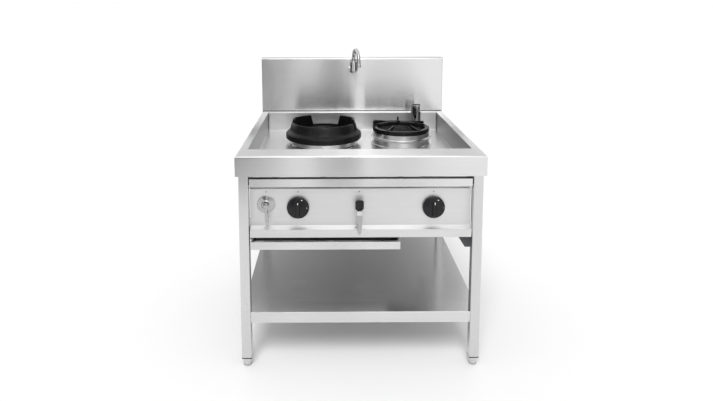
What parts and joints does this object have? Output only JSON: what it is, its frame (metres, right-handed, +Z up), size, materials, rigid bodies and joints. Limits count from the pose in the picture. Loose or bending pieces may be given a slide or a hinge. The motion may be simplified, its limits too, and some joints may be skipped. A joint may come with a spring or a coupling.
{
  "type": "wok range",
  "caption": "Free-standing stainless gas wok range: wet basin top with a wok burner and a pot burner, splash-back with swivel tap, control panel, drip tray and shelf.",
  "frame": {"origin": "on the floor under the middle of the overall width and depth", "axes": "+X to the cook's right, +Y towards the wall behind, +Z up"},
  "size_m": [1, 1, 1.26],
  "materials": {
    "stainless": "satin stainless sheet",
    "polished_steel": "bright rolled stainless sheet",
    "chrome": "polished plating",
    "lever_steel": "matt ground steel",
    "pipe_steel": "drawn steel pipe",
    "cast_iron": "black enamelled casting",
    "burner_iron": "bare grey casting",
    "black_plastic": "glossy black",
    "brass": "machined brass",
    "dark_steel": "dark grey paint"
  },
  "bodies": {
    "range_frame": {"cooktop_rim": "stainless", "cooktop_basin": "polished_steel", "splash_back": "stainless", "splash_rear_cover": "stainless", "front_left_leg": "stainless", "front_left_plug": "black_plastic", "front_right_leg": "stainless", "front_right_plug": "black_plastic", "rear_left_leg": "stainless", "rear_left_plug": "black_plastic", "rear_right_leg": "stainless", "rear_right_plug": "black_plastic", "front_top_rail": "stainless", "rear_cross_rail": "stainless", "left_side_rail": "stainless", "right_side_rail": "stainless", "lower_shelf": "stainless", "control_panel": "stainless", "ledge_screw": "chrome", "water_valve_body": "brass", "water_valve_cover": "chrome", "left_gas_valve": "brass", "right_gas_valve": "brass", "lever_valve_body": "brass", "gas_manifold": "pipe_steel", "gas_inlet_pipe": "pipe_steel", "wok_burner_collar": "polished_steel", "wok_burner_well": "burner_iron", "wok_burner_head": "burner_iron", "wok_pilot": "brass", "wok_feed_pipe": "pipe_steel", "pot_burner_collar": "polished_steel", "pot_burner_well": "burner_iron", "pot_burner_head": "burner_iron", "pot_pilot": "brass", "pot_feed_pipe": "pipe_steel", "drain_outlet": "polished_steel", "tap_flange": "chrome", "tap_body": "chrome", "tap_supply_pipe": "pipe_steel", "left_tray_runner": "stainless", "right_tray_runner": "stainless", "leg_gusset": "dark_steel"},
    "wok_ring_body": {"wok_ring": "cast_iron"},
    "pot_ring_body": {"pot_ring": "cast_iron"},
    "standpipe_body": {"standpipe": "chrome"},
    "drip_tray_body": {"drip_tray": "stainless"},
    "tap_spout_body": {"tap_spout": "chrome"},
    "tap_lever_body": {"tap_lever": "chrome"},
    "water_valve_lever_body": {"water_valve_lever": "chrome"},
    "gas_lever_body": {"lever_hub": "black_plastic", "gas_lever": "lever_steel"},
    "left_stem_body": {"left_valve_stem": "pipe_steel"},
    "left_knob_body": {"left_knob": "black_plastic"},
    "right_stem_body": {"right_valve_stem": "pipe_steel"},
    "right_knob_body": {"right_knob": "black_plastic"},
    "front_left_foot_body": {"front_left_foot": "chrome"},
    "front_right_foot_body": {"front_right_foot": "chrome"},
    "rear_left_foot_body": {"rear_left_foot": "chrome"},
    "rear_right_foot_body": {"rear_right_foot": "chrome"}
  },
  "joints": [
    {"name": "wok_ring_lift", "type": "slide", "parent": "range_frame", "child": "wok_ring_body", "axis": [0, 0, 1], "range_m": [0, 0.12]},
    {"name": "pot_ring_lift", "type": "slide", "parent": "range_frame", "child": "pot_ring_body", "axis": [0, 0, 1], "range_m": [0, 0.12]},
    {"name": "standpipe_lift", "type": "slide", "parent": "range_frame", "child": "standpipe_body", "axis": [0, 0, 1], "range_m": [0, 0.2]},
    {"name": "drip_tray_slide", "type": "slide", "parent": "range_frame", "child": "drip_tray_body", "axis": [0, -1, 0], "range_m": [0, 0.42]},
    {"name": "tap_spout_swivel", "type": "hinge", "parent": "range_frame", "child": "tap_spout_body", "pos_m": [0.006, 0.405, 1.1644], "axis": [0, 0, 1], "range_deg": [-90, 68]},
    {"name": "tap_lever_turn", "type": "hinge", "parent": "range_frame", "child": "tap_lever_body", "pos_m": [0.006, 0.405, 1.15], "axis": [-1, 0, 0], "range_deg": [0, 60]},
    {"name": "water_valve_turn", "type": "hinge", "parent": "range_frame", "child": "water_valve_lever_body", "pos_m": [-0.382, -0.474, 0.6887], "axis": [0, -1, 0], "range_deg": [0, 90]},
    {"name": "gas_lever_turn", "type": "hinge", "parent": "range_frame", "child": "gas_lever_body", "pos_m": [-0.005, -0.48, 0.692], "axis": [0, -1, 0], "range_deg": [0, 90]},
    {"name": "left_knob_push", "type": "slide", "parent": "range_frame", "child": "left_stem_body", "axis": [0, 1, 0], "range_m": [0, 0.003], "stiffness_N_per_m": 2500},
    {"name": "left_knob_turn", "type": "hinge", "parent": "left_stem_body", "child": "left_knob_body", "pos_m": [-0.253, -0.476, 0.6765], "axis": [0, -1, 0], "range_deg": [0, 150]},
    {"name": "right_knob_push", "type": "slide", "parent": "range_frame", "child": "right_stem_body", "axis": [0, 1, 0], "range_m": [0, 0.003], "stiffness_N_per_m": 2500},
    {"name": "right_knob_turn", "type": "hinge", "parent": "right_stem_body", "child": "right_knob_body", "pos_m": [0.296, -0.476, 0.6765], "axis": [0, -1, 0], "range_deg": [0, 150]},
    {"name": "front_left_foot_screw", "type": "slide", "parent": "range_frame", "child": "front_left_foot_body", "axis": [0, 0, -1], "range_m": [0, 0.025]},
    {"name": "front_right_foot_screw", "type": "slide", "parent": "range_frame", "child": "front_right_foot_body", "axis": [0, 0, -1], "range_m": [0, 0.025]},
    {"name": "rear_left_foot_screw", "type": "slide", "parent": "range_frame", "child": "rear_left_foot_body", "axis": [0, 0, -1], "range_m": [0, 0.025]},
    {"name": "rear_right_foot_screw", "type": "slide", "parent": "range_frame", "child": "rear_right_foot_body", "axis": [0, 0, -1], "range_m": [0, 0.025]}
  ]
}
